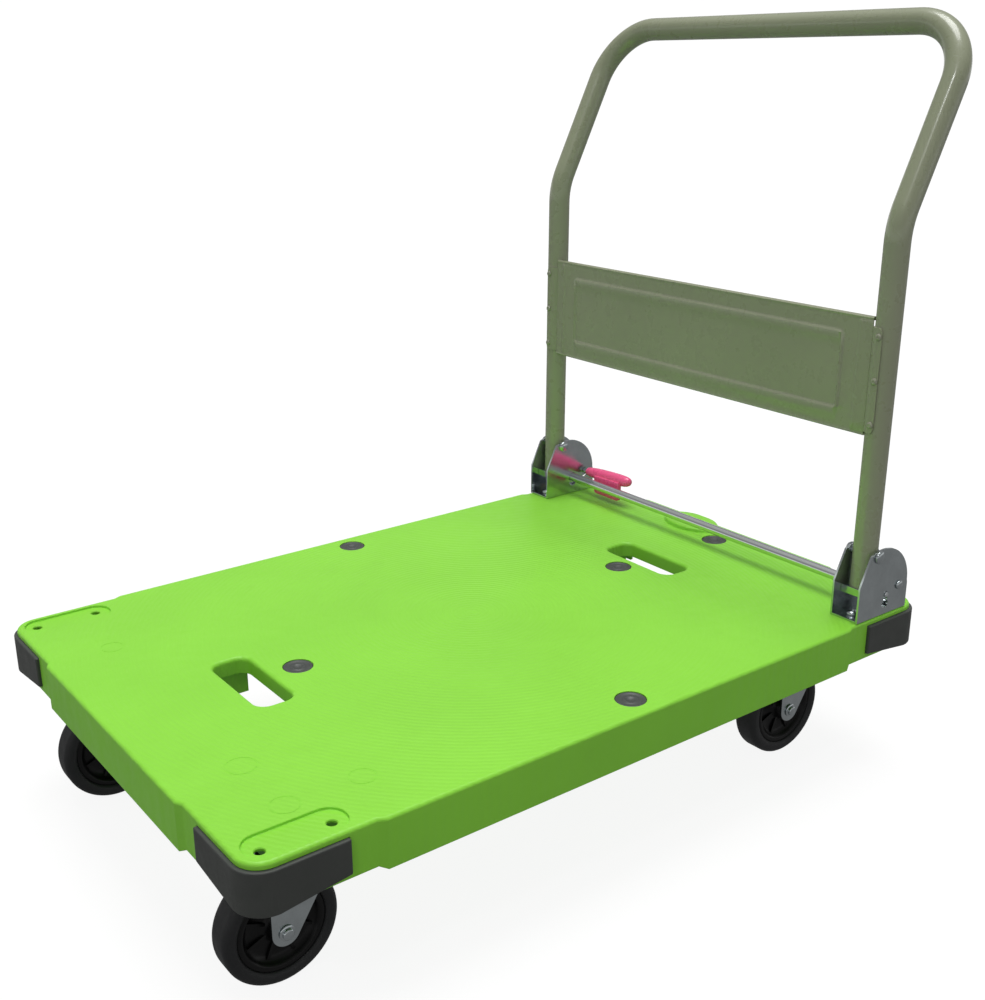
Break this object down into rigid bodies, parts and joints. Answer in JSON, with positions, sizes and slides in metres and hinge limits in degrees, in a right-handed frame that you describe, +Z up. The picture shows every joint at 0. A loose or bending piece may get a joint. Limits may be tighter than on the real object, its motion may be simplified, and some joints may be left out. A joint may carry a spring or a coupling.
{
  "type": "folding platform cart",
  "caption": "Low flatbed cart with a moulded plastic deck, rubber corner bumpers, swivel casters, and a tubular handle with a cross panel that a foot pedal frees to fold over the deck.",
  "frame": {"origin": "on the floor, under the middle of the box that the whole cart fills", "axes": "+X runs along the deck towards the handle, +Y across it towards the pedal side, +Z up"},
  "size_m": [0.9279, 0.61, 0.8672],
  "materials": {
    "deck": "satin moulded lime green plastic with a fine texture",
    "bumper": "matt dark grey rubber",
    "plug": "matt dark grey plastic",
    "handle": "satin olive grey powder coat",
    "zinc": "bright zinc plated steel",
    "lock_rod": "bright chromed steel",
    "pedal": "satin pink plastic",
    "spring": "bare spring steel",
    "hub": "glossy black plastic",
    "tyre": "matt black rubber tread"
  },
  "bodies": {
    "platform": {"deck": "deck", "bumper_front_right": "bumper", "bumper_front_left": "bumper", "bumper_rear_right": "bumper", "bumper_rear_left": "bumper", "plug_front": "plug", "plug_rear": "plug", "plug_rear_edge": "plug", "plug_left": "plug", "plug_right": "plug", "hinge_bracket_left": "zinc", "stop_strip_left": "zinc", "pivot_bolt_left": "zinc", "hinge_bracket_right": "zinc", "stop_strip_right": "zinc", "pivot_bolt_right": "zinc", "spacer_pin": "zinc", "bracket_bolt_left_front": "zinc", "bracket_bolt_left_rear": "zinc", "bracket_bolt_right_front": "zinc", "bracket_bolt_right_rear": "zinc", "caster_plate_front_right": "zinc", "caster_plate_front_left": "zinc", "caster_plate_rear_right": "zinc", "caster_plate_rear_left": "zinc", "kingpin_front_right": "zinc", "kingpin_front_left": "zinc", "kingpin_rear_right": "zinc", "kingpin_rear_left": "zinc", "lock_spring_left": "spring", "lock_spring_right": "spring"},
    "handle": {"handle_tube": "handle", "handle_panel": "handle", "rivet_left_upper": "zinc", "rivet_left_middle": "zinc", "rivet_left_lower": "zinc", "rivet_right_upper": "zinc", "rivet_right_middle": "zinc", "rivet_right_lower": "zinc"},
    "lock_bar": {"lock_rod": "lock_rod", "pedal_arm": "zinc", "pedal_stub": "zinc", "release_pedal": "pedal"},
    "caster_front_right": {"caster_fork_front_right": "zinc", "axle_front_right": "zinc"},
    "wheel_front_right": {"wheel_hub_front_right": "hub", "tyre_front_right": "tyre"},
    "caster_front_left": {"caster_fork_front_left": "zinc", "axle_front_left": "zinc"},
    "wheel_front_left": {"wheel_hub_front_left": "hub", "tyre_front_left": "tyre"},
    "caster_rear_right": {"caster_fork_rear_right": "zinc", "axle_rear_right": "zinc"},
    "wheel_rear_right": {"wheel_hub_rear_right": "hub", "tyre_rear_right": "tyre"},
    "caster_rear_left": {"caster_fork_rear_left": "zinc", "axle_rear_left": "zinc"},
    "wheel_rear_left": {"wheel_hub_rear_left": "hub", "tyre_rear_left": "tyre"}
  },
  "joints": [
    {"name": "handle_fold", "type": "hinge", "parent": "platform", "child": "handle", "pos_m": [0.34397, 0, 0.274], "axis": [0, -1, 0], "range_deg": [0, 90]},
    {"name": "pedal_press", "type": "slide", "parent": "platform", "child": "lock_bar", "axis": [0, 0, -1], "range_m": [0, 0.006], "stiffness_N_per_m": 1500, "springref_m": -0.004, "deforming": ["lock_spring_left", "lock_spring_right"]},
    {"name": "swivel_front_right", "type": "hinge", "parent": "platform", "child": "caster_front_right", "pos_m": [-0.36153, -0.203, 0.15], "axis": [0, 0, 1], "continuous": true},
    {"name": "wheel_spin_front_right", "type": "hinge", "parent": "caster_front_right", "child": "wheel_front_right", "pos_m": [-0.39154, -0.203, 0.0595], "axis": [0, 1, 0], "continuous": true},
    {"name": "swivel_front_left", "type": "hinge", "parent": "platform", "child": "caster_front_left", "pos_m": [-0.36153, 0.203, 0.15], "axis": [0, 0, 1], "continuous": true},
    {"name": "wheel_spin_front_left", "type": "hinge", "parent": "caster_front_left", "child": "wheel_front_left", "pos_m": [-0.39154, 0.203, 0.0595], "axis": [0, 1, 0], "continuous": true},
    {"name": "swivel_rear_right", "type": "hinge", "parent": "platform", "child": "caster_rear_right", "pos_m": [0.33147, -0.203, 0.15], "axis": [0, 0, 1], "continuous": true},
    {"name": "wheel_spin_rear_right", "type": "hinge", "parent": "caster_rear_right", "child": "wheel_rear_right", "pos_m": [0.30146, -0.203, 0.0595], "axis": [0, 1, 0], "continuous": true},
    {"name": "swivel_rear_left", "type": "hinge", "parent": "platform", "child": "caster_rear_left", "pos_m": [0.33147, 0.203, 0.15], "axis": [0, 0, 1], "continuous": true},
    {"name": "wheel_spin_rear_left", "type": "hinge", "parent": "caster_rear_left", "child": "wheel_rear_left", "pos_m": [0.30146, 0.203, 0.0595], "axis": [0, 1, 0], "continuous": true}
  ]
}
